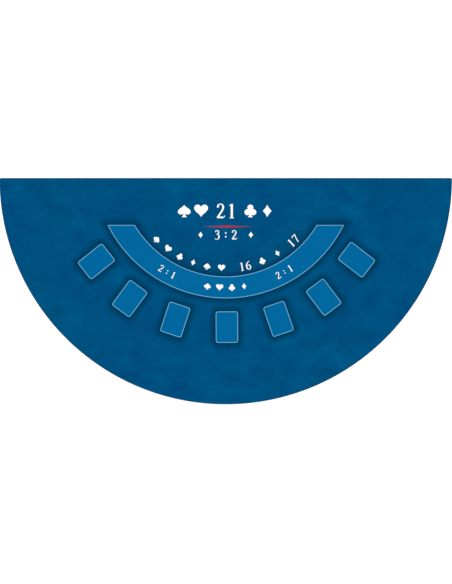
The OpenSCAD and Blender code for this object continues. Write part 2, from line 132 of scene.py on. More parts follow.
sky = bpy.data.worlds.new("sky")
sky.use_nodes = True
sky.node_tree.nodes.clear()
glow = add(sky.node_tree, "ShaderNodeBackground", {"Color": linear("FFFFFF"), "Strength": 0.6})
add(sky.node_tree, "ShaderNodeOutputWorld", None, {"Surface": glow.outputs[0]})
bpy.context.scene.world = sky

lamp_data = bpy.data.lights.new("overhead_lamp", "SUN")
lamp_data.energy = 2.5
lamp_data.angle = radians(4)
lamp = bpy.data.objects.new("overhead_lamp", lamp_data)
bpy.context.scene.collection.objects.link(lamp)
bpy.context.scene.view_settings.view_transform = "Standard"

# ----------------------------------------------------------------------------
# Layout cloth. One piece of dyed, short-napped card-table cloth, stretched over foam and board,
# drawn down round the edge and turned under as a stapled hem. Along the curve the hem has more
# cloth than it needs, which lies in small pleats.
# ----------------------------------------------------------------------------

edge_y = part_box("layout_cloth")[1][1]       # the dealer's straight edge
top_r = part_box("layout_cloth")[1][0]        # radius of the half-round top
under_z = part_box("layout_cloth")[0][2]      # outer face of the hem
cloth_t = 0.001
cloth_z = top_z - 0.0003                    # the cloth's face; the ink stands proud of it
hem_w = 0.038
corner_r, least_r = 0.007, 0.0008           # the top's two corners, and the least they shrink to


def half_round(inset):
    """Outline of the top drawn in by a distance: arc, straight edge and two rounded corners.

    It is a half disc of radius top_r less the inset. Each corner is a small arc that touches both
    the big arc and the straight edge. Points run counter-clockwise from the right-hand corner,
    and every inset gives the same number of them.
    """
    corner_n, edge_n, arc_n = 10, 150, 300
    small = max(corner_r - inset, least_r)
    big = top_r - inset
    drop = inset + small
    middle = sqrt((big - small) ** 2 - drop**2)
    tilt = atan2(-drop, middle)
    turn = np.linspace(tilt, pi / 2, corner_n)
    right = np.stack([middle + small * np.cos(turn), small * np.sin(turn) - drop], 1)
    along = np.linspace(middle, -middle, edge_n + 2)[1:-1]
    edge = np.stack([along, np.full(edge_n, -inset)], 1)
    sweep = np.linspace(pi - tilt, 2 * pi + tilt, arc_n + 2)[1:-1]
    arc = big * np.stack([np.cos(sweep), np.sin(sweep)], 1)
    return np.concatenate([right, edge, right[::-1] * (-1, 1), arc]) + (0, edge_y)


def grid_faces(rows, cols, wrap=True, first=0):
    """Quads over a grid of rows by cols points; wrap joins the last column to the first."""
    i, j = np.meshgrid(np.arange(rows - 1), np.arange(cols if wrap else cols - 1), indexing="ij")
    a, b = first + i * cols + j, first + i * cols + (j + 1) % cols
    return np.stack([a, a + cols, b + cols, b], -1).reshape(-1, 4).tolist()


def fan_faces(first, cols, tip):
    """Triangles from a counter-clockwise ring of cols points to the point tip in its middle."""
    j = np.arange(cols)
    return np.stack([first + j, first + (j + 1) % cols, np.full(cols, tip)], -1).tolist()


def make_piece(name, points, faces, material, body, slot, sharp=None):
    """A mesh that rides on a body: flat-faced, or smooth but for edges sharper than some degrees."""
    mesh = bpy.data.meshes.new(name)
    mesh.from_pydata(np.asarray(points, float).reshape(-1, 3).tolist(), [], faces)
    if sharp:
        mesh.shade_smooth()
        mesh.set_sharp_from_angle(angle=radians(sharp))
    mesh.materials.append(material)
    piece = bpy.data.objects.new(name, mesh)
    bpy.context.scene.collection.objects.link(piece)
    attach(piece, body)
    return piece


def give_wall(piece, thickness):
    """Gives a surface a wall behind its faces."""
    wall = piece.modifiers.new("wall", "SOLIDIFY")
    wall.thickness = thickness
    wall.offset = -1.0


# The printed panels, in metres. Seven boxes fan out from a point behind the straight edge, as
# mirror pairs about the middle one; the whole fan is turned a little to the dealer's left.
fan_centre = np.array([0.0, edge_y + 0.070])
fan_turn = 0.4
box_rows = [(0, 0.663, 0), (18, 0.664, 18.6), (35.2, 0.669, 36.8), (52.4, 0.653, 51.9)]
box_half = np.array([0.043, 0.061])
box_corner_r = 0.008
line_w = 0.0024
band_outer_r, band_outer_y = 0.523, edge_y + 0.046
band_inner_r, band_inner_y = 0.423, edge_y + 0.030
band_top_y = edge_y - 0.188
rule_r = 0.388                              # the curved line of pips and figures
glow_reach = 0.032                          # the dark glow round a panel
rule_glow, rule_glow_half = 0.15, 0.026     # strength and half the width of the rule's own glow
rule_glow_drop = 0.02                       # how far below the band's ends that glow stops

boxes = []
for i in range(-3, 4):
    out, radius, tilt = box_rows[abs(i)]
    way = radians(np.sign(i) * out + fan_turn)
    boxes.append(
        (fan_centre + (radius * sin(way), -radius * cos(way)), radians(np.sign(i) * tilt + fan_turn))
    )


def glow_around_panels(tree, place):
    """How strongly the dark glow is printed at a point: 1 at a panel's line, 0 past its reach.

    A box's distance is measured in its own frame: how far the point lies outside a smaller
    rectangle, less the corner's radius. The band's is the largest of its distances to two
    circles and to the line that cuts it.
    """
    spot = add(tree, "ShaderNodeSeparateXYZ", None, {0: place})
    level = add(tree, "ShaderNodeCombineXYZ", None, {"X": spot.outputs["X"], "Y": spot.outputs["Y"]})
    from_outer = {"operation": "DISTANCE", 1: (0, band_outer_y, 0)}
    from_inner = {"operation": "DISTANCE", 1: (0, band_inner_y, 0)}
    outer = add(tree, "ShaderNodeVectorMath", from_outer, {0: level.outputs[0]}).outputs["Value"]
    inner = add(tree, "ShaderNodeVectorMath", from_inner, {0: level.outputs[0]}).outputs["Value"]
    past_outer = add(tree, "ShaderNodeMath", {"operation": "SUBTRACT", 1: band_outer_r}, {0: outer})
    past_inner = add(tree, "ShaderNodeMath", {"operation": "SUBTRACT", 0: band_inner_r}, {1: inner})
    past_top = add(
        tree, "ShaderNodeMath", {"operation": "SUBTRACT", 1: band_top_y}, {0: spot.outputs["Y"]}
    )
    largest = {"operation": "MAXIMUM"}
    arcs = add(tree, "ShaderNodeMath", largest, {0: past_outer.outputs[0], 1: past_inner.outputs[0]})
    nearest = add(tree, "ShaderNodeMath", largest, {0: arcs.outputs[0], 1: past_top.outputs[0]})
    for (x, y), tilt in boxes:
        frame_of_box = {"vector_type": "TEXTURE", "Location": (x, y, 0), "Rotation": (0, 0, tilt)}
        local = add(tree, "ShaderNodeMapping", frame_of_box, {"Vector": level.outputs[0]})
        folded = add(tree, "ShaderNodeVectorMath", {"operation": "ABSOLUTE"}, {0: local.outputs[0]})
        core = {"operation": "SUBTRACT", 1: (*(box_half - box_corner_r), 0)}
        past = add(tree, "ShaderNodeVectorMath", core, {0: folded.outputs[0]})
        above_nought = {"operation": "MAXIMUM", 1: (0, 0, 0)}
        outside = add(tree, "ShaderNodeVectorMath", above_nought, {0: past.outputs[0]})
        reach = add(tree, "ShaderNodeVectorMath", {"operation": "LENGTH"}, {0: outside.outputs[0]})
        corner = {"operation": "SUBTRACT", 1: box_corner_r}
        to_box = add(tree, "ShaderNodeMath", corner, {0: reach.outputs["Value"]})
        least = {"operation": "MINIMUM"}
        nearest = add(tree, "ShaderNodeMath", least, {0: nearest.outputs[0], 1: to_box.outputs[0]})
    fade = {"From Min": 0.0, "From Max": glow_reach, "To Min": 1.0, "To Max": 0.0}
    panels = add(tree, "ShaderNodeMapRange", fade, {"Value": nearest.outputs[0]})

    # The curved line of pips and figures has a fainter glow of its own.
    near = {"operation": "COMPARE", 1: rule_r, 2: rule_glow_half}
    by_rule = add(tree, "ShaderNodeMath", near, {0: inner})
    below = add(
        tree, "ShaderNodeMath", {"operation": "LESS_THAN", 1: band_top_y - rule_glow_drop},
        {0: spot.outputs["Y"]},
    )
    on_rule = add(
        tree, "ShaderNodeMath", {"operation": "MULTIPLY"},
        {0: by_rule.outputs[0], 1: below.outputs[0]},
    )
    faint = add(tree, "ShaderNodeMath", {"operation": "MULTIPLY", 1: rule_glow}, {0: on_rule.outputs[0]})
    both = add(tree, "ShaderNodeMath", largest, {0: panels.outputs[0], 1: faint.outputs[0]})
    return both.outputs[0]


def napped_cloth(name, dark, light, print_glow_and_rim_shade=False):
    """Dyed, short-napped cloth: cloudy where the nap leans another way, matt, with a soft bump.

    The clouds are 60 to 150 mm across, with brush marks of 15 mm in them. The fibres are 0.1 mm
    thick in the real cloth, and are drawn ten times as coarse so that they show.
    """
    material, tree, place = new_material(name)
    leaning = add(tree, "ShaderNodeMapping", {"Scale": (1.0, 1.5, 1.0)}, {"Vector": place})
    clouds = add(
        tree, "ShaderNodeTexNoise", {"Scale": 9.0, "Detail": 5.0, "Roughness": 0.62, "Distortion": 0.3},
        {"Vector": leaning.outputs[0]},
    )
    brushed = add(
        tree, "ShaderNodeTexNoise", {"Scale": 65.0, "Detail": 3.0, "Roughness": 0.6},
        {"Vector": leaning.outputs[0]},
    )
    fibres = add(tree, "ShaderNodeTexNoise", {"Scale": 1000.0, "Detail": 2.0}, {"Vector": place})
    marks = add(
        tree, "ShaderNodeMix", {"data_type": "FLOAT", 0: 0.28},
        {2: clouds.outputs[0], 3: brushed.outputs[0]},
    )
    grain = add(
        tree, "ShaderNodeMix", {"data_type": "FLOAT", 0: 0.12},
        {2: marks.outputs[0], 3: fibres.outputs[0]},
    )
    spread = add(
        tree, "ShaderNodeMapRange", {"From Min": 0.36, "From Max": 0.64},
        {"Value": grain.outputs[0]},
    )
    tone = add(
        tree, "ShaderNodeMix", {"data_type": "RGBA", 6: linear(dark), 7: linear(light)},
        {0: spread.outputs[0]},
    )
    colour = tone.outputs[2]
    # The printed dark glow round the panels, and painted shade along the cloth's rounded rim.
    if print_glow_and_rim_shade:
        hue = add(tree, "ShaderNodeTexNoise", {"Scale": 5.0, "Detail": 2.0}, {"Vector": place})
        lean = add(
            tree, "ShaderNodeMapRange", {"From Min": 0.35, "From Max": 0.65, "To Max": 0.35},
            {"Value": hue.outputs[0]},
        )
        tinted = add(
            tree, "ShaderNodeMix", {"data_type": "RGBA", 7: linear("003F6E")},
            {0: lean.outputs[0], 6: colour},
        )
        glow = glow_around_panels(tree, place)
        shaded = add(
            tree, "ShaderNodeMix", {"data_type": "RGBA", 7: linear("002D48")},
            {0: glow, 6: tinted.outputs[2]},
        )
        colour = shaded.outputs[2]

        # Painted shade along the rounded rim: the cloth is darkened most where it faces half up and half
        # out, and not at all on the top, the side or the hem.
        facing = add(tree, "ShaderNodeTexCoord").outputs["Normal"]
        up = add(tree, "ShaderNodeSeparateXYZ", None, {0: facing}).outputs["Z"]
        out = add(tree, "ShaderNodeMath", {"operation": "SUBTRACT", 0: 1.0}, {1: up})
        slant = add(tree, "ShaderNodeMath", {"operation": "MULTIPLY"}, {0: up, 1: out.outputs[0]})
        rim_painted_shade = add(tree, "ShaderNodeMath", {"operation": "MULTIPLY", 1: 3.4}, {0: slant.outputs[0]})
        rim_shade_colour = {"data_type": "RGBA", 7: linear("00263D")}
        colour = add(tree, "ShaderNodeMix", rim_shade_colour, {0: rim_painted_shade.outputs[0], 6: colour}).outputs[2]
    bump = add(
        tree, "ShaderNodeBump", {"Strength": 0.3, "Distance": 0.0004},
        {"Height": fibres.outputs[0]},
    )
    finish = {"Roughness": 0.95, "Specular IOR Level": 0.05, "Specular Tint": linear(light)}
    finish |= {"Sheen Weight": 0.02, "Sheen Roughness": 0.4, "Sheen Tint": linear(light)}
    links = {"Base Color": colour, "Normal": bump.outputs[0]}
    shader = add(tree, "ShaderNodeBsdfPrincipled", finish, links)
    add(tree, "ShaderNodeOutputMaterial", None, {"Surface": shader.outputs[0]})
    return material


pleat_n, pleat_h = 75, 0.002                # pleats, had they gone all the way round; their height
hem_flat = 0.006                            # how far in from the outline the pleats start
arc_from, arc_fade = 0.38, 0.03             # where the curve starts, and how long its ends fade


def hem_pleats(inset, count):
    """How far the hem stands off the board: waves along the curve that grow inwards.

    The wave is a sine raised to lie above nought, to the third power, so that each pleat is a
    narrow ridge between broad flats. Its phase wanders nine times round the outline, so that no
    two are the same distance apart.
    """
    around = np.linspace(0, 1, count, endpoint=False)
    on_arc = np.clip((around - arc_from) / arc_fade, 0, 1) * np.clip((1 - around) / arc_fade, 0, 1)
    wander = 2.1 * np.sin(18 * pi * around)
    wave = (0.5 + 0.5 * np.sin(2 * pi * pleat_n * around + wander)) ** 3
    return pleat_h * wave * on_arc * np.clip((inset - hem_flat) / (hem_w - hem_flat), 0, 1)


# The cloth's cross-section from the rim of the flat top outwards, over the edge and back under:
# each entry is the distance in from the outline, and the height.
over_r = 0.003
under_r = 0.0025
bends = np.linspace(0, pi / 2, 7)
section = [(0.02, cloth_z), (0.01, cloth_z)]
section += [(over_r * (1 - sin(a)), cloth_z - over_r * (1 - cos(a))) for a in bends]
section += [(0.0, z) for z in np.linspace(cloth_z - 2 * over_r, under_z + 2 * under_r, 3)]
section += [(under_r * (1 - cos(a)), under_z + under_r * (1 - sin(a))) for a in bends]
section += [(inset, under_z) for inset in np.linspace(hem_flat, hem_w, 8)]

rim = half_round(section[0][0])
flat_rings, centre_in = 60, 0.36            # rings of the flat top, and their centre from the edge
centre = np.array([0.0, edge_y - centre_in])
rows = [
    np.column_stack([centre + (rim - centre) * k, np.full(len(rim), cloth_z)])
    for k in np.linspace(0, 1, flat_rings)[1:-1]
]
for inset, height in section:
    ring = half_round(inset)
    sag = hem_pleats(inset, len(ring)) if height == under_z else 0
    rows.append(np.column_stack([ring, np.full(len(ring), height) - sag]))
cloth_points = np.vstack([*rows, [*centre, cloth_z]])
cloth_faces = grid_faces(len(rows), len(rim)) + fan_faces(0, len(rim), len(cloth_points) - 1)
# This finish carries the printed glow and the painted shade along the cloth's rim.
cloth_finish = napped_cloth("dyed_napped_cloth", "003C64", "004D75", print_glow_and_rim_shade=True)
cloth = make_piece(
    "stretched_cloth", cloth_points, cloth_faces, cloth_finish, "tabletop", "blue_cloth", 60
)
give_wall(cloth, cloth_t)
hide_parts("layout_cloth")

# ----------------------------------------------------------------------------
# Printed layout. Ink pressed into the cloth: light blue panels, thin pale blue lines, and white
# pips and figures with a red lens between the two lines of the heading.
# ----------------------------------------------------------------------------

ink_t = 0.0003
light_z = top_z
white_z = top_z + 0.0002


def turned_by(points, angle, shift=(0.0, 0.0)):
    """Flat points turned counter-clockwise about the origin, then moved."""
    c, s = cos(angle), sin(angle)
    return points @ np.array([[c, s], [-s, c]]) + shift


def rounded_panel(grow, count=48):
    """Outline of a box grown by a distance: a quarter circle at each corner of its core."""
    turn = (np.arange(count) + 0.5) * 2 * pi / count
    unit = np.stack([np.cos(turn), np.sin(turn)], 1)
    return np.sign(unit) * (box_half - box_corner_r) + (box_corner_r + grow) * unit


def band_edge(grow, count=120):
    """Outline of the insurance band, grown by a distance: its outer arc, then its inner arc."""
    top = band_top_y + grow
    sides = []
    for r, y, way in ((band_outer_r + grow, band_outer_y, 1), (band_inner_r - grow, band_inner_y, -1)):
        half = np.arccos((y - top) / r)
        turn = np.linspace(-half, half, count)[::way]
        sides.append(np.stack([r * np.sin(turn), y - r * np.cos(turn)], 1))
    return sides


def flat_mesh(shapes, height):
    """Joins flat shapes, each a pair of points and faces, into one mesh facing upwards.

    Shapes that follow each other lie 0.02 mm apart, in turns of five, so that where two overlap
    neither lies in the other's plane.
    """
    points, faces = [], []
    for k, (outline, cells) in enumerate(shapes):
        first = sum(len(p) for p in points)
        points.append(np.column_stack([outline, np.full(len(outline), height - 0.00002 * (k % 5))]))
        for cell in cells:
            ring = outline[cell]
            after = np.roll(ring, -1, 0)
            upwards = np.sum(ring[:, 0] * after[:, 1] - ring[:, 1] * after[:, 0]) > 0
            faces.append([first + c for c in (cell if upwards else cell[::-1])])
    return np.vstack(points), faces


def filled(outline, heart=None):
    """A shape filled by triangles from its middle, which sees the whole counter-clockwise edge."""
    middle = outline.mean(0) if heart is None else heart
    return np.vstack([outline, middle]), fan_faces(0, len(outline), len(outline))


def framed(inner, outer):
    """A closed line between two outlines of as many points."""
    return np.vstack([inner, outer]), grid_faces(2, len(inner))


def ribbon(left, right):
    """A strip between two rows of points, the first row on its left."""
    return np.vstack([right, left]), grid_faces(2, len(left), wrap=False)


def at_boxes(shape):
    """One copy of a shape, drawn round the origin, at each betting box."""
    points, faces = shape
    return [(turned_by(points, tilt, place), faces) for place, tilt in boxes]


# Figures and pips are drawn in a box of height 1 round the origin. A stroke is a broad-nibbed
# pen's: heavy where it runs up and down, thin where it runs across.
def stroke(path, heavy=0.15, thin=0.05, count=20):
    """A pen stroke along a smooth curve through the path's points.

    The curve is a Catmull-Rom spline. The nib's width is thin plus the rest times the upright
    share of the curve's direction to the power 1.5, half of it to each side.
    """
    knots = np.array(path, float)
    knots = np.vstack([2 * knots[0] - knots[1], knots, 2 * knots[-1] - knots[-2]])
    t = np.linspace(0, len(path) - 1, count * (len(path) - 1) + 1)
    k = np.minimum(t.astype(int), len(path) - 2)
    u = (t - k)[:, None]
    a, b, c, d = knots[k], knots[k + 1], knots[k + 2], knots[k + 3]
    line = 0.5 * (
        2 * b + (c - a) * u + (2 * a - 5 * b + 4 * c - d) * u**2 + (3 * b - a - 3 * c + d) * u**3
    )
    way = np.gradient(line, axis=0)
    way /= np.linalg.norm(way, axis=1)[:, None]
    width = thin + (heavy - thin) * np.abs(way[:, 1:]) ** 1.5
    side = np.stack([-way[:, 1], way[:, 0]], 1) * width / 2
    return ribbon(line + side, line - side)


figures = {
    1: [
        stroke([(0, 0.48), (0, -0.48)], count=2),
        stroke([(0.03, 0.46), (-0.07, 0.40), (-0.17, 0.37)], heavy=0.06),
        stroke([(-0.15, -0.48), (0.15, -0.48)], thin=0.045, count=2),
    ],
    2: [
        stroke(
            [(-0.21, 0.24), (-0.14, 0.43), (0.03, 0.47), (0.16, 0.33), (0.13, 0.10)]
            + [(-0.05, -0.20), (-0.23, -0.45)],
            heavy=0.13,
        ),
        stroke([(-0.24, -0.44), (0.17, -0.44)], thin=0.11, count=2),
        stroke([(0.16, -0.46), (0.23, -0.42), (0.27, -0.31)], heavy=0.05),
    ],
    3: [
        stroke(
            [(-0.19, 0.30), (-0.10, 0.44), (0.05, 0.47), (0.16, 0.32), (0.10, 0.13), (-0.07, 0.05)],
            heavy=0.13,
        ),
        stroke(
            [(-0.07, 0.05), (0.12, 0.01), (0.20, -0.18), (0.13, -0.40), (-0.06, -0.49), (-0.22, -0.42)],
            heavy=0.14,
        ),
    ],
    6: [
        stroke(
            [(0.21, 0.48), (-0.02, 0.35), (-0.19, 0.10), (-0.22, -0.18), (-0.14, -0.41), (0.01, -0.49)],
            heavy=0.14,
        ),
        stroke(
            [(0.01, -0.49), (0.16, -0.40), (0.21, -0.20), (0.15, -0.01), (0.02, 0.06), (-0.15, 0.0)],
            heavy=0.14,
        ),
    ],
    7: [
        stroke([(-0.22, 0.44), (0.25, 0.44)], thin=0.10, count=2),
        stroke([(-0.22, 0.46), (-0.25, 0.30)], heavy=0.05, count=2),
        stroke([(0.24, 0.44), (0.08, 0.10), (-0.03, -0.25), (-0.07, -0.49)], heavy=0.11),
    ],
}

circle_turn = np.arange(28) * 2 * pi / 28
circle = np.stack([np.cos(circle_turn), np.sin(circle_turn)], 1)
colon = [filled(0.085 * circle + (0, y)) for y in (-0.2, 0.2)]
turns = np.arange(64) * 2 * pi / 64
heart_edge = np.stack(
    [
        16 * np.sin(turns) ** 3,
        13 * np.cos(turns) - 5 * np.cos(2 * turns) - 2 * np.cos(3 * turns) - np.cos(4 * turns),
    ],
    1,
)
heart_edge = heart_edge[::-1] / 29 + (0, 0.09)
flare = np.linspace(0, 1, 8)
stem_side = np.stack([0.03 + 0.17 * flare**2.5, -0.5 * flare], 1)
stem = ribbon(stem_side, stem_side * (-1, 1))
corners = np.sign(circle) * np.abs(circle) ** 2.4 * (0.36, 0.5)
pips = {
    "spade": [filled(heart_edge * (0.92, -0.78) + (0, 0.11)), stem],
    "heart": [filled(heart_edge)],
    "club": [
        filled(0.235 * circle + at) for at in ((0, 0.265), (-0.235, -0.1), (0.235, -0.1))
    ] + [filled(0.12 * circle), stem],
    "diamond": [filled(corners)],
}
suits = [pips[name] for name in ("spade", "heart", "club", "diamond")]


def print_at(shapes, height, place, angle=0.0):
    """Shapes at their printed height, turned, and put in their place."""
    return [(turned_by(points * height, angle, place), faces) for points, faces in shapes]


def print_on_arc(shapes, height, r, degrees):
    """Shapes on an arc about the band's inner centre, with their feet away from it."""
    angle = radians(degrees)
    place = (r * sin(angle), band_inner_y - r * cos(angle))
    return print_at(shapes, height, place, angle)


outer_arc, inner_arc = band_edge(0.0)
panel_shapes = at_boxes(filled(rounded_panel(0.0))) + [ribbon(outer_arc, inner_arc[::-1])]
line_shapes = at_boxes(framed(rounded_panel(-line_w / 2), rounded_panel(line_w / 2)))
line_shapes.append(framed(np.vstack(band_edge(-line_w / 2)), np.vstack(band_edge(line_w / 2))))
figure_shapes = []

heading_y, heading_h, heading_pip_h = edge_y - 0.131, 0.058, 0.050
second_y, second_h = edge_y - 0.226, 0.037
note_r, note_h, note_step = 0.466, 0.028, 3.4       # odds printed on the band, and their spacing
rule_h, half_step = 0.034, 1.9                      # figures on the curved line, half their spacing
pip_h = 0.026
for suit, x in zip(suits, (-0.165, -0.098, 0.098, 0.165)):
    figure_shapes += print_at(suit, heading_pip_h, (x, heading_y))
for shape, x in ((figures[2], -0.020), (figures[1], 0.024)):
    figure_shapes += print_at(shape, heading_h, (x, heading_y))
for x in (-0.100, 0.100):
    figure_shapes += print_at(pips["diamond"], pip_h, (x, second_y))
for shape, x in ((figures[3], -0.034), (colon, 0.0), (figures[2], 0.034)):
    figure_shapes += print_at(shape, second_h, (x, second_y))
for i, degrees in enumerate((-45, -36.5, -28, -19.5, -11, -2.5, 22, 32)):
    figure_shapes += print_on_arc(suits[i % 4], pip_h, rule_r, degrees)
for tens, units, degrees in ((1, 6, 11.5), (1, 7, 44)):
    figure_shapes += print_on_arc(figures[tens], rule_h, rule_r, degrees - half_step)
    figure_shapes += print_on_arc(figures[units], rule_h, rule_r, degrees + half_step)
for degrees in (-30, 30):
    for shape, step in ((figures[2], -note_step), (colon, 0), (figures[1], note_step)):
        figure_shapes += print_on_arc(shape, note_h, note_r, degrees + step)
for i in range(4):
    figure_shapes += print_on_arc(suits[i], pip_h, note_r, (i - 1.5) * 6)

light_ink = napped_cloth("light_blue_ink_on_cloth", "005787", "025A8A")
line_ink = napped_cloth("pale_blue_ink_on_cloth", "5F9FC0", "66A5C6")
white_ink = napped_cloth("white_ink_on_cloth", "DADCDE", "E4E5E6")
red_ink = napped_cloth("red_ink_on_cloth", "9C1E2A", "A8242F")
panels = make_piece(
    "light_blue_panels", *flat_mesh(panel_shapes, light_z), light_ink, "tabletop", "light_blue_print"
)
lines = make_piece("panel_lines", *flat_mesh(line_shapes, white_z), line_ink, "tabletop", "white_print")
figures_and_pips = make_piece(
    "figures_and_pips", *flat_mesh(figure_shapes, white_z), white_ink, "tabletop", "white_print"
)
for print_piece, node in (
    (panels, "light_print"), (lines, "white_print"), (figures_and_pips, "white_print")
):
    give_wall(print_piece, ink_t)
    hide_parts(node)


def refinish(names, material):
    """Gives CAD nodes, whose shape is right, a finish."""
    for name in names:
        for slot in bpy.data.objects[name].material_slots:
            slot.link = "OBJECT"
            slot.material = material


refinish(["red_print"], red_ink)

# ----------------------------------------------------------------------------
# Foam underlay. A sheet of closed-cell foam, glued to the board and cut just short of its edge,
# which the stretched cloth presses to a soft round rim.
# ----------------------------------------------------------------------------

foam_low, foam_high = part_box("foam_underlay")


def closed_cell_foam():
    """Grey closed-cell foam, sliced from a block: matt, with cut cells half a millimetre wide.

    They are drawn 2 mm wide, so that they show.
    """
    material, tree, place = new_material("sliced_closed_cell_foam")
    cells = add(tree, "ShaderNodeTexVoronoi", {"Scale": 500.0}, {"Vector": place})
    tone = add(
        tree, "ShaderNodeMix", {"data_type": "RGBA", 6: linear("4C4D50"), 7: linear("6A6B6E")},
        {0: cells.outputs["Distance"]},
    )
    bump = add(
        tree, "ShaderNodeBump", {"Strength": 0.5, "Distance": 0.0004},
        {"Height": cells.outputs["Distance"]},
    )
    finish = {"Roughness": 0.9, "Specular IOR Level": 0.2}
    links = {"Base Color": tone.outputs[2], "Normal": bump.outputs[0]}
    shader = add(tree, "ShaderNodeBsdfPrincipled", finish, links)
    add(tree, "ShaderNodeOutputMaterial", None, {"Surface": shader.outputs[0]})
    return material


foam_edge = top_r - foam_high[0]
foam_gap = 0.0002                           # air under the cloth, and the straight foot of the rim
foam_flat_in = 0.05
foam_top = cloth_z - cloth_t - foam_gap
foam_rim_r = foam_top - foam_low[2] - foam_gap
foam_section = [(foam_edge, foam_low[2])]
foam_section += [
    (foam_edge + foam_rim_r * (1 - cos(a)), foam_top - foam_rim_r * (1 - sin(a))) for a in bends
]
foam_section += [(foam_edge + foam_flat_in, foam_top)]
foam_rows = [
    np.column_stack([half_round(inset), np.full(len(rim), height)])
    for inset, height in foam_section[::-1]
]
foam_n = len(rim)
foam_points = np.vstack([*foam_rows, [*centre, foam_top], [*centre, foam_low[2]]])
foam_faces = grid_faces(len(foam_rows), foam_n) + fan_faces(0, foam_n, len(foam_points) - 2)
foam_faces += [f[::-1] for f in fan_faces((len(foam_rows) - 1) * foam_n, foam_n, len(foam_points) - 1)]
foam = make_piece("foam_pad", foam_points, foam_faces, closed_cell_foam(), "tabletop", "grey_foam", 60)
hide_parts("foam_underlay")

# ----------------------------------------------------------------------------
# Board. Sanded birch plywood, sawn to a half disc and left bare; the cloth hides its edge and
# the hem a strip of its underside.
# ----------------------------------------------------------------------------


def sanded_birch_plywood():
    """Rotary-cut birch veneer: pale, with wide wavy figure and fine pores along the length."""
    material, tree, place = new_material("sanded_birch_plywood")
    long_way = add(tree, "ShaderNodeMapping", {"Scale": (1.0, 7.0, 7.0)}, {"Vector": place})
    figure = add(
        tree, "ShaderNodeTexNoise", {"Scale": 3.0, "Detail": 6.0, "Roughness": 0.55, "Distortion": 1.6},
        {"Vector": long_way.outputs[0]},
    )
    spread = add(
        tree, "ShaderNodeMapRange", {"From Min": 0.35, "From Max": 0.65},
        {"Value": figure.outputs[0]},
    )
    tone = add(
        tree, "ShaderNodeMix", {"data_type": "RGBA", 6: linear("B08F62"), 7: linear("CFB58A")},
        {0: spread.outputs[0]},
    )
    thin_way = add(tree, "ShaderNodeMapping", {"Scale": (25.0, 900.0, 900.0)}, {"Vector": place})
    pores = add(
        tree, "ShaderNodeTexNoise", {"Scale": 1.0, "Detail": 2.0},
        {"Vector": thin_way.outputs[0]},
    )
    open_pores = add(
        tree, "ShaderNodeMapRange", {"From Min": 0.60, "From Max": 0.72, "To Max": 0.35},
        {"Value": pores.outputs[0]},
    )
    flecked = add(
        tree, "ShaderNodeMix", {"data_type": "RGBA", 7: linear("7C5E3B")},
        {0: open_pores.outputs[0], 6: tone.outputs[2]},
    )
    bump = add(
        tree, "ShaderNodeBump", {"Strength": 0.15, "Distance": 0.0003},
        {"Height": pores.outputs[0]},
    )
    finish = {"Roughness": 0.65, "Specular IOR Level": 0.35}
    links = {"Base Color": flecked.outputs[2], "Normal": bump.outputs[0]}
    shader = add(tree, "ShaderNodeBsdfPrincipled", finish, links)
    add(tree, "ShaderNodeOutputMaterial", None, {"Surface": shader.outputs[0]})
    return material


refinish(["top_board"], sanded_birch_plywood())

# ----------------------------------------------------------------------------
# Rails. Four planed pine boards screwed flat under the board: two along it and, between their
# ends, the two that carry the hinges.
# ----------------------------------------------------------------------------


def planed_pine(name, grain_axis, pith):
    """Planed pine: growth rings 4 mm apart round a pith outside the board, and soft streaks.

    The rings are cylinders along the grain, so a face shows long flames and an end shows arcs.
    A wave of scale s repeats every 2 pi / 20 s.
    """
    material, tree, place = new_material(name)
    ring_gap = 0.004
    from_pith = add(tree, "ShaderNodeMapping", {"Location": pith}, {"Vector": place})
    ring = {"wave_type": "RINGS", "rings_direction": grain_axis, "wave_profile": "SAW"}
    ring |= {"Scale": 2 * pi / (20 * ring_gap), "Distortion": 2.2, "Detail": 3.0, "Detail Scale": 0.35}
    rings = add(tree, "ShaderNodeTexWave", ring, {"Vector": from_pith.outputs[0]})
    tone = add(
        tree, "ShaderNodeMix", {"data_type": "RGBA", 6: linear("CBA66F"), 7: linear("A87A45")},
        {0: rings.outputs[0]},
    )
    stretch = (6.0, 140.0, 140.0) if grain_axis == "X" else (140.0, 6.0, 140.0)
    along = add(tree, "ShaderNodeMapping", {"Scale": stretch}, {"Vector": place})
    streaks = add(tree, "ShaderNodeTexNoise", {"Scale": 1.0, "Detail": 4.0}, {"Vector": along.outputs[0]})
    softened = add(
        tree, "ShaderNodeMix", {"data_type": "RGBA", 7: linear("D9BC8A")},
        {0: streaks.outputs[0], 6: tone.outputs[2]},
    )
    bump = add(
        tree, "ShaderNodeBump", {"Strength": 0.2, "Distance": 0.0004},
        {"Height": streaks.outputs[0]},
    )
    finish = {"Roughness": 0.6, "Specular IOR Level": 0.35}
    links = {"Base Color": softened.outputs[2], "Normal": bump.outputs[0]}
    shader = add(tree, "ShaderNodeBsdfPrincipled", finish, links)
    add(tree, "ShaderNodeOutputMaterial", None, {"Surface": shader.outputs[0]})
    return material


refinish(["front_rail"], planed_pine("planed_pine_front", "X", (0, 0.16, -0.66)))
refinish(["rear_rail"], planed_pine("planed_pine_rear", "X", (0, -0.25, -0.68)))
refinish(["left_hinge_rail"], planed_pine("planed_pine_left", "Y", (0.54, 0, -0.67)))
refinish(["right_hinge_rail"], planed_pine("planed_pine_right", "Y", (-0.51, 0, -0.65)))

# ----------------------------------------------------------------------------
# Fixings. Galvanised wire staples hold the hem; every other screw, bracket, rivet and brace is
# pressed or turned steel with a bright zinc plate.
# ----------------------------------------------------------------------------


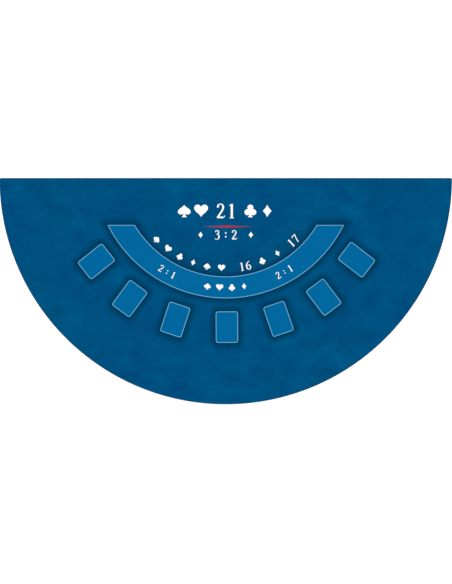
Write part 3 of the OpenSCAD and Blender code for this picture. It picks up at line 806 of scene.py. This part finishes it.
def plated_steel(name, dark, light, rough, spangle):
    """Zinc-plated steel: grey metal with a faint cloudiness, finely scuffed by handling."""
    material, tree, place = new_material(name)
    cloud = add(
        tree, "ShaderNodeTexNoise", {"Scale": spangle, "Detail": 4.0, "Roughness": 0.6},
        {"Vector": place},
    )
    tone = add(
        tree, "ShaderNodeMix", {"data_type": "RGBA", 6: linear(dark), 7: linear(light)},
        {0: cloud.outputs[0]},
    )
    scuffs = add(tree, "ShaderNodeTexNoise", {"Scale": 900.0, "Detail": 3.0}, {"Vector": place})
    dull = add(
        tree, "ShaderNodeMapRange", {"To Min": rough - 0.1, "To Max": rough + 0.12},
        {"Value": scuffs.outputs[0]},
    )
    bump = add(
        tree, "ShaderNodeBump", {"Strength": 0.06, "Distance": 0.0002},
        {"Height": scuffs.outputs[0]},
    )
    links = {"Base Color": tone.outputs[2], "Roughness": dull.outputs[0], "Normal": bump.outputs[0]}
    shader = add(tree, "ShaderNodeBsdfPrincipled", {"Metallic": 1.0}, links)
    add(tree, "ShaderNodeOutputMaterial", None, {"Surface": shader.outputs[0]})
    return material


zinc = plated_steel("bright_zinc_plate", "A9AEB3", "C9CDD1", 0.36, 60.0)
refinish(["hem_staples"], plated_steel("galvanised_wire", "9EA3A8", "B9BDC1", 0.45, 300.0))
refinish(["brace_brackets", "bracket_rivets"], zinc)

screw_face_n, screw_turn_n = 15, 48
face_hub = 0.04                             # share of the head's radius where the face starts
waist_r, waist_z = 0.85, 0.7                # the shank's waist, as shares of radius and length
point_r, point_h = 0.1, 0.0002              # the point's radius as a share, and its height
cross_reach = 0.62                          # share of the head's radius that the cross takes
cross_depth = 0.0017
cross_arm, cross_slope = 0.0006, 0.0002     # half the width of an arm, and of its sloping sides


def driven_screws(name, node, count, rise, sunk, neck):
    """Cross-head wood screws, driven upwards, where a CAD node's plain screws stand.

    Each is a profile turned about its axis. The face is a dome: its height grows with the square
    of the radius's share of the head, up to the rise. Then come the neck's pairs of radius and
    height, and a shank that tapers to a point. The cross is cut into the face, inside two arms.
    Its depth is greatest at the axis, times the square root of the share of its reach still to
    go. A raised countersunk head starts beyond its CAD face, which is flush, by the length sunk.
    """
    corners = np.empty(3 * len(bpy.data.objects[node].data.vertices))
    bpy.data.objects[node].data.vertices.foreach_get("co", corners)
    each = corners.reshape(count, -1, 3)    # a screw's points follow each other in the node
    low, high = each.min(1), each.max(1)
    head_r = (high - low)[0, 0] / 2
    length = (high - low)[0, 2]
    share = np.linspace(face_hub, 1, screw_face_n)
    shank_r = neck[-1][0]
    shank = [(shank_r * waist_r, length * waist_z), (shank_r * point_r, length - point_h)]
    profile = np.array([*zip(share * head_r, share**2 * rise - sunk), *neck, *shank])
    turn = np.arange(screw_turn_n) * 2 * pi / screw_turn_n
    x, y = profile[:, :1] * np.cos(turn), profile[:, :1] * np.sin(turn)
    across = np.minimum(np.abs(x), np.abs(y))
    in_arm = np.clip((cross_arm - across) / cross_slope + 0.5, 0, 1)
    fall = np.clip(1 - profile[:, :1] / (cross_reach * head_r), 0, 1) ** 0.5
    on_face = np.arange(len(profile))[:, None] < screw_face_n
    z = profile[:, 1:] + cross_depth * in_arm * fall * on_face
    one = np.vstack([np.stack([x, y, z], -1).reshape(-1, 3), [0, 0, cross_depth - sunk], [0, 0, length]])
    tip, end = len(one) - 2, len(one) - 1
    cells = [face[::-1] for face in grid_faces(len(profile), screw_turn_n)]
    cells += [face[::-1] for face in fan_faces(0, screw_turn_n, tip)]
    cells += fan_faces((len(profile) - 1) * screw_turn_n, screw_turn_n, end)
    feet = np.column_stack([(low + high)[:, :2] / 2, low[:, 2]])
    points = (one + feet[:, None]).reshape(-1, 3)
    faces = [[corner + k * len(one) for corner in cell] for k in range(count) for cell in cells]
    screws = make_piece(name, points, faces, zinc, "tabletop", "zinc_steel", 40)
    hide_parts(node)


# The rails' and the clips' screws have raised countersunk heads, the others pan heads.
driven_screws("cross_head_rail_screws", "rail_screws", 18, 0.0008, 0.0008, [(0.0022, 0.0022)])
driven_screws("cross_head_clip_screws", "clip_screws", 4, 0.0004, 0.0004, [(0.002, 0.002)])
block_neck = [(0.00504, 0.0021), (0.0048, 0.0024), (0.0024, 0.0024)]
driven_screws("cross_head_block_screws", "hinge_block_screws", 16, 0.001, 0.0, block_neck)
bracket_neck = [(0.0042, 0.0021), (0.004, 0.0024), (0.002, 0.0024)]
driven_screws("cross_head_bracket_screws", "bracket_screws", 8, 0.001, 0.0, bracket_neck)
for side in ("left", "right"):
    braces = ["front_upper_link", "rear_upper_link", "release_bar", "front_lower_link", "rear_lower_link"]
    refinish([f"{side}_{name}" for name in [*braces, "knuckle_rivets", "leg_rivets"]], zinc)

# ----------------------------------------------------------------------------
# Hinge blocks, leg clips and tube caps. Moulded in black nylon, with the fine grain that a
# spark-eroded mould leaves.
# ----------------------------------------------------------------------------


def moulded_nylon():
    """Black nylon from an eroded mould: half matt, with a grain of 0.3 mm drawn 1 mm wide."""
    material, tree, place = new_material("moulded_black_nylon")
    grain = add(tree, "ShaderNodeTexNoise", {"Scale": 1000.0, "Detail": 2.0}, {"Vector": place})
    flow = add(
        tree, "ShaderNodeTexNoise", {"Scale": 45.0, "Detail": 2.0, "Distortion": 0.8},
        {"Vector": place},
    )
    tone = add(
        tree, "ShaderNodeMix", {"data_type": "RGBA", 6: linear("17181A"), 7: linear("232528")},
        {0: flow.outputs[0]},
    )
    bump = add(
        tree, "ShaderNodeBump", {"Strength": 0.2, "Distance": 0.0003},
        {"Height": grain.outputs[0]},
    )
    finish = {"Roughness": 0.48, "IOR": 1.53}
    links = {"Base Color": tone.outputs[2], "Normal": bump.outputs[0]}
    shader = add(tree, "ShaderNodeBsdfPrincipled", finish, links)
    add(tree, "ShaderNodeOutputMaterial", None, {"Surface": shader.outputs[0]})
    return material


nylon = moulded_nylon()
refinish(["hinge_blocks", "leg_clips", "left_tube_caps", "right_tube_caps"], nylon)

# ----------------------------------------------------------------------------
# Leg frames. Steel tube, mitred and welded: a hinge tube, two legs and a stretcher, powder
# coated black after welding, so that the coat runs over the beads.
# ----------------------------------------------------------------------------


def textured_powder_coat():
    """Black polyester powder, baked: it flows to a fine orange peel 1 mm from bump to bump."""
    material, tree, place = new_material("textured_black_powder_coat")
    peel = add(
        tree, "ShaderNodeTexNoise", {"Scale": 900.0, "Detail": 2.0, "Roughness": 0.5},
        {"Vector": place},
    )
    wear = add(
        tree, "ShaderNodeTexNoise", {"Scale": 14.0, "Detail": 5.0, "Roughness": 0.65},
        {"Vector": place},
    )
    tone = add(
        tree, "ShaderNodeMix", {"data_type": "RGBA", 6: linear("141517"), 7: linear("202225")},
        {0: wear.outputs[0]},
    )
    dull = add(tree, "ShaderNodeMapRange", {"To Min": 0.42, "To Max": 0.6}, {"Value": wear.outputs[0]})
    bump = add(tree, "ShaderNodeBump", {"Strength": 0.3, "Distance": 0.0003}, {"Height": peel.outputs[0]})
    links = {"Base Color": tone.outputs[2], "Roughness": dull.outputs[0], "Normal": bump.outputs[0]}
    shader = add(tree, "ShaderNodeBsdfPrincipled", {"IOR": 1.5}, links)
    add(tree, "ShaderNodeOutputMaterial", None, {"Surface": shader.outputs[0]})
    return material


splay = radians(4)
tube_r = 0.014
stretcher_r = 0.011
stretcher_down = 0.310
leg_pitch = 0.470
hinges = {row["name"]: row for row in frame["record"]["behaviour"]["joints"]}
powder_coat = textured_powder_coat()


def on_frame(side, points):
    """Points drawn for an open frame, with z up its legs, put under the table.

    x is inwards, y along the hinge tube from its middle, and z up from the hinge axis. They are
    tilted by the legs' splay, mirrored on the right-hand side, and moved to the hinge.
    """
    x, y, z = points[..., 0], points[..., 1], points[..., 2]
    hinge = hinges[f"{side}_leg_fold"]["pos_m"]
    inwards = 1 if side == "left" else -1
    tilted = x * cos(splay) + z * sin(splay), z * cos(splay) - x * sin(splay)
    return np.stack([hinge[0] + inwards * tilted[0], hinge[1] + y, hinge[2] + tilted[1]], -1)


bead_r, ripple_h, ripple_pitch = 0.0018, 0.0003, 0.002
bead_turn_n = 10


def bead(path, side):
    """A weld bead along a closed curve: a round section whose radius ripples as it was laid.

    The radius is bead_r plus ripple_h times the sine of one ripple a pitch. The section lies
    across the curve, in the plane of its direction's normal and the second normal.
    """
    ahead = np.roll(path, -1, 0) - np.roll(path, 1, 0)
    length = np.linalg.norm(ahead, axis=1).sum() / 2
    way = ahead / np.linalg.norm(ahead, axis=1)[:, None]
    outward = path - path.mean(0)
    outward -= (outward * way).sum(1)[:, None] * way
    outward /= np.linalg.norm(outward, axis=1)[:, None]
    third = np.cross(way, outward)
    place = np.arange(len(path)) / len(path)
    radius = bead_r + ripple_h * np.sin(2 * pi * round(length / ripple_pitch) * place)
    turn = np.arange(bead_turn_n) * 2 * pi / bead_turn_n
    ring = outward[:, None] * np.cos(turn)[:, None] + third[:, None] * np.sin(turn)[:, None]
    points = on_frame(side, path[:, None] + radius[:, None, None] * ring)
    count = len(path)
    i, j = np.meshgrid(np.arange(count), np.arange(bead_turn_n), indexing="ij")
    this_ring, next_ring = i * bead_turn_n, (i + 1) % count * bead_turn_n
    beside = (j + 1) % bead_turn_n
    cells = [this_ring + j, this_ring + beside, next_ring + beside, next_ring + j]
    cells = np.stack(cells if side == "left" else cells[::-1], -1)
    return points.reshape(-1, 3), cells.reshape(-1, 4)


weld_turn_n = 180
weld_turn = np.arange(weld_turn_n) * 2 * pi / weld_turn_n
for side in ("left", "right"):
    refinish(
        [f"{side}_{name}" for name in ("hinge_tube", "front_leg", "rear_leg", "stretcher")], powder_coat
    )
    curves = []
    for end in (-1, 1):
        # A leg's tube meets the hinge tube of the same size: z falls by the sine of the turn.
        x, y = tube_r * np.cos(weld_turn), tube_r * np.sin(weld_turn)
        curves.append(np.stack([x, y + end * leg_pitch / 2, -np.sqrt(tube_r**2 - x**2)], 1))
        # The stretcher meets the leg's wider tube: y is drawn in by the circle's height there.
        x, z = stretcher_r * np.cos(weld_turn), stretcher_r * np.sin(weld_turn)
        y = end * (leg_pitch / 2 - np.sqrt(tube_r**2 - x**2))
        curves.append(np.stack([x, y, z - stretcher_down], 1))
    parts = [bead(curve, side) for curve in curves]
    weld_points = np.vstack([points for points, _ in parts])
    each = len(parts[0][0])
    weld_faces = np.vstack([faces + each * i for i, (_, faces) in enumerate(parts)]).tolist()
    name, body = f"{side}_weld_beads", f"{side}_leg_frame"
    make_piece(name, weld_points, weld_faces, powder_coat, body, "black_powder_coat", 80)

# ----------------------------------------------------------------------------
# Feet. Moulded rubber ferrules pushed over the legs' ends, ringed for grip, with soles that
# stand level on the floor though the legs lean.
# ----------------------------------------------------------------------------


def moulded_rubber():
    """Black rubber: dull, bloomed a little grey, with a mould grain drawn 1.5 mm wide."""
    material, tree, place = new_material("moulded_black_rubber")
    bloom = add(tree, "ShaderNodeTexNoise", {"Scale": 80.0, "Detail": 4.0}, {"Vector": place})
    tone = add(
        tree, "ShaderNodeMix", {"data_type": "RGBA", 6: linear("0F0F10"), 7: linear("242425")},
        {0: bloom.outputs[0]},
    )
    grain = add(tree, "ShaderNodeTexNoise", {"Scale": 700.0, "Detail": 2.0}, {"Vector": place})
    bump = add(
        tree, "ShaderNodeBump", {"Strength": 0.25, "Distance": 0.0003},
        {"Height": grain.outputs[0]},
    )
    finish = {"Roughness": 0.78, "IOR": 1.52}
    links = {"Base Color": tone.outputs[2], "Normal": bump.outputs[0]}
    shader = add(tree, "ShaderNodeBsdfPrincipled", finish, links)
    add(tree, "ShaderNodeOutputMaterial", None, {"Surface": shader.outputs[0]})
    return material


rubber = moulded_rubber()
foot_r = 0.0178                             # a folded foot lies 0.2 mm clear of the rail
foot_top = 0.043                            # height of the straight wall above the floor
foot_sole = 0.0089                          # rubber under the end of the tube
reach = hinges["left_leg_fold"]["pos_m"][2] / cos(splay)
ring_h, ring_pitch = 0.0012, 0.009
rings_from, rings_to, wall_to = 0.012, 0.036, 0.037
pole_r = 0.0005
wall_n, foot_turn_n = 79, 48

# The ferrule's profile: radius, and height above the floor along the leg. It runs out along the
# sole, up the wall, over the lip and down the bore to the rubber under the tube's end. The wall's
# three rings stand out of it, with a height that is the square root of a sine.
climb = np.linspace(0.004, foot_top, wall_n)
swell = np.maximum(0, np.sin((climb - rings_from) * 2 * pi / ring_pitch)) ** 0.5
wall_r = foot_r - ring_h + ring_h * swell * (climb < rings_to)
wall_r = np.where((climb < rings_from) | (climb > wall_to), foot_r, wall_r)
profile = [(pole_r, -0.004), (foot_r - 0.0015, -0.004), (foot_r - 0.0004, -0.0015), *zip(wall_r, climb)]
profile += [
    (foot_r - 0.0006, foot_top + 0.0015),
    (tube_r + 0.0015, foot_top + 0.004),
    (tube_r + 0.0002, foot_top + 0.0044),
    (tube_r + 0.0001, foot_top),
    (tube_r + 0.0001, foot_sole),
    (pole_r, foot_sole),
]
profile = np.array(profile)

foot_turn = np.arange(foot_turn_n) * 2 * pi / foot_turn_n
for side in ("left", "right"):
    for end, which in ((-1, "front"), (1, "rear")):
        x = profile[:, :1] * np.cos(foot_turn)
        y = profile[:, :1] * np.sin(foot_turn) + end * leg_pitch / 2
        z = np.broadcast_to(profile[:, 1:] - reach, x.shape)
        poles = [[0, end * leg_pitch / 2, height - reach] for height in (profile[0, 1], foot_sole)]
        points = on_frame(side, np.vstack([np.stack([x, y, z], -1).reshape(-1, 3), poles]))
        points[..., 2] = np.maximum(points[..., 2], 0.0)
        faces = grid_faces(len(profile), foot_turn_n) + fan_faces(0, foot_turn_n, len(points) - 2)
        bore_end = fan_faces((len(profile) - 1) * foot_turn_n, foot_turn_n, len(points) - 1)
        faces += [face[::-1] for face in bore_end]
        if side == "left":                  # the right-hand frame's mirror turns its faces over
            faces = [face[::-1] for face in faces]
        name = f"{side}_{which}_foot"
        foot = make_piece(
            f"{name}_ringed", points, faces, rubber, f"{side}_leg_frame", "black_rubber", 50
        )
        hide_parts(name)
